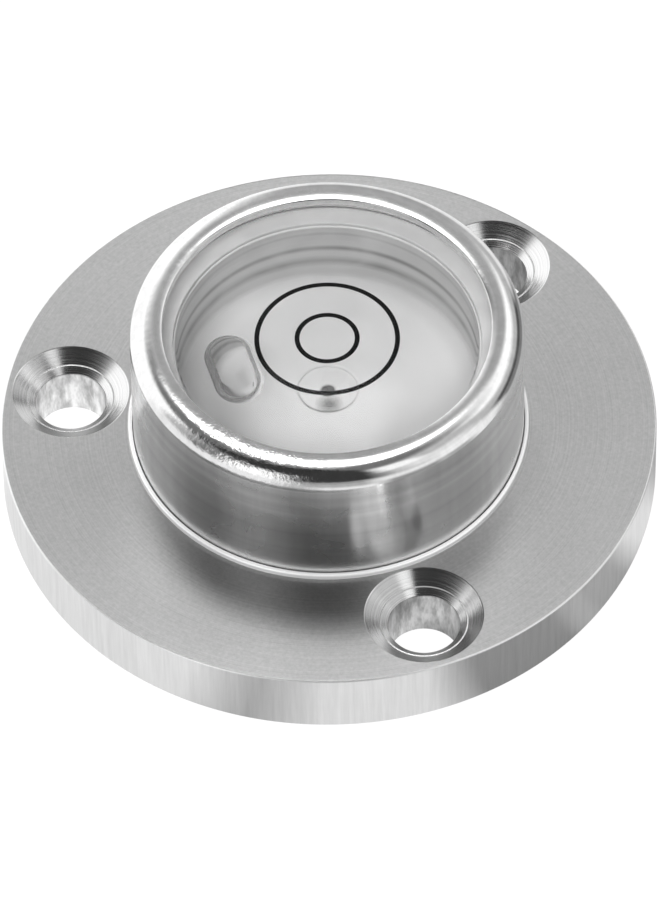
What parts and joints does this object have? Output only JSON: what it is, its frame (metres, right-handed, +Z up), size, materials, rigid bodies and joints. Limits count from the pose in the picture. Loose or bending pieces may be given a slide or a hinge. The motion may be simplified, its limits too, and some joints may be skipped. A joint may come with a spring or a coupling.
{
  "type": "bullseye level",
  "caption": "Round bubble level in a polished housing on a screw-down flange, with a glass window, printed circles, liquid and bubble.",
  "frame": {"origin": "centre of the flange's underside, the face that is screwed down", "axes": "+Z is up, along the turning axis of the flange and the housing; +Y points to the first screw hole"},
  "size_m": [0.05, 0.05, 0.017],
  "materials": {
    "flange_metal": "fine turned satin",
    "housing_metal": "mirror polished",
    "window_glass": "clear and polished",
    "printed_black": "fired black ink",
    "seal_rubber": "pale matte",
    "plug_metal": "turned",
    "vial_liquid": "clear liquid",
    "bubble_air": "clear air"
  },
  "bodies": {
    "root": {"mounting_flange": "flange_metal", "vial_housing": "housing_metal", "window_glass": "window_glass", "outer_circle_mark": "printed_black", "inner_circle_mark": "printed_black", "window_seal": "seal_rubber", "filler_plug": "plug_metal", "plug_seal": "seal_rubber", "liquid_fill": "vial_liquid", "air_bubble": "bubble_air"}
  },
  "joints": []
}
